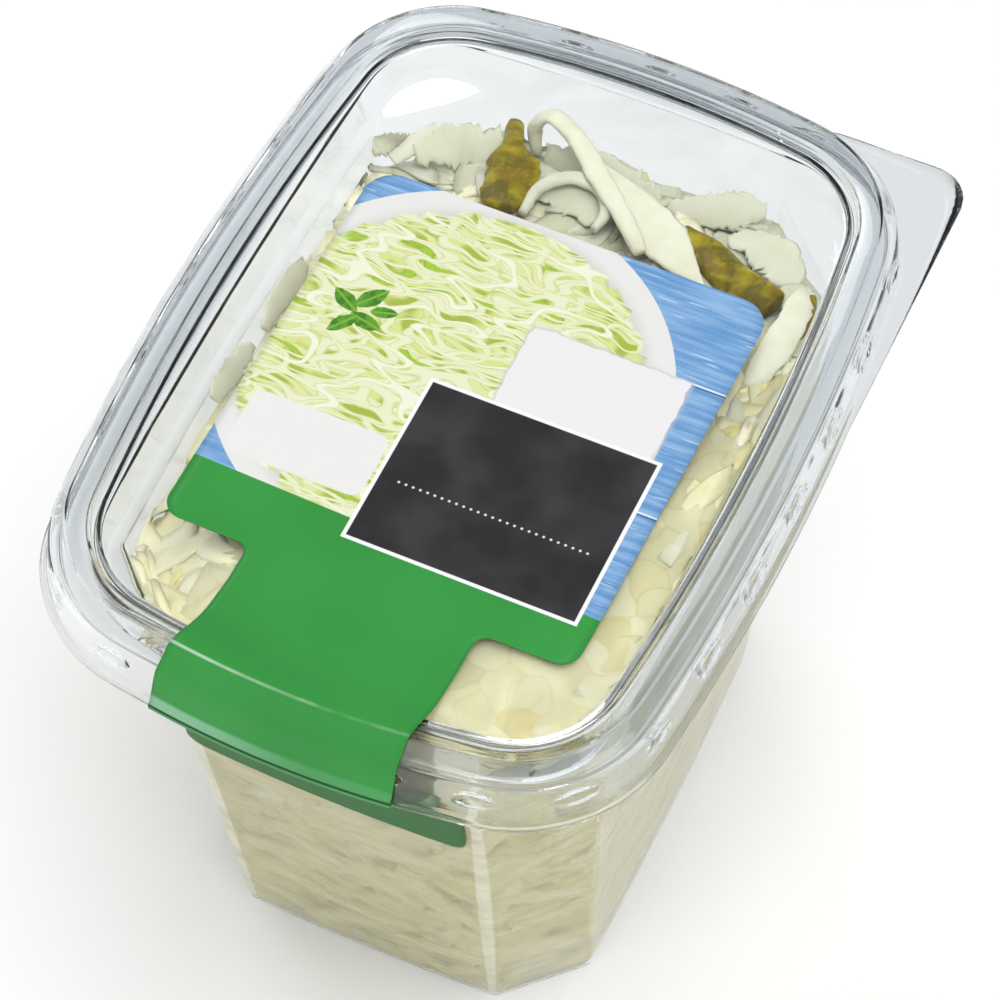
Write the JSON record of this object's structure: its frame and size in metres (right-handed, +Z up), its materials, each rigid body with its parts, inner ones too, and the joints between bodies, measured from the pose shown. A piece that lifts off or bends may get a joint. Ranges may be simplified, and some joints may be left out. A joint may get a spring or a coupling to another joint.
{
  "type": "sealed tub of cabbage salad",
  "caption": "Clear rectangular deli tub with cut corners, filled with shredded white cabbage salad and pepper strips, shut by a clear press-on lid with a wrap-over label.",
  "frame": {"origin": "middle of the tub's foot, on the plane it stands on", "axes": "+Z up, +X the short way across the tub towards the lid's pull tab side, -Y towards the end where the label folds over"},
  "size_m": [0.0852, 0.1153, 0.0898],
  "materials": {
    "clear_tub": "clear thin polyester, glossy",
    "clear_lid": "clear thin polyester, glossy",
    "label_print": "printed film, satin, with green as its main colour",
    "cabbage": "wet, pale yellow cream",
    "pepper": "wet, olive green"
  },
  "bodies": {
    "root": {"tub": "clear_tub", "lid": "clear_lid", "label": "label_print", "salad": "cabbage", "pepper_strip_1": "pepper", "pepper_strip_2": "pepper", "pepper_strip_3": "pepper"}
  },
  "joints": []
}
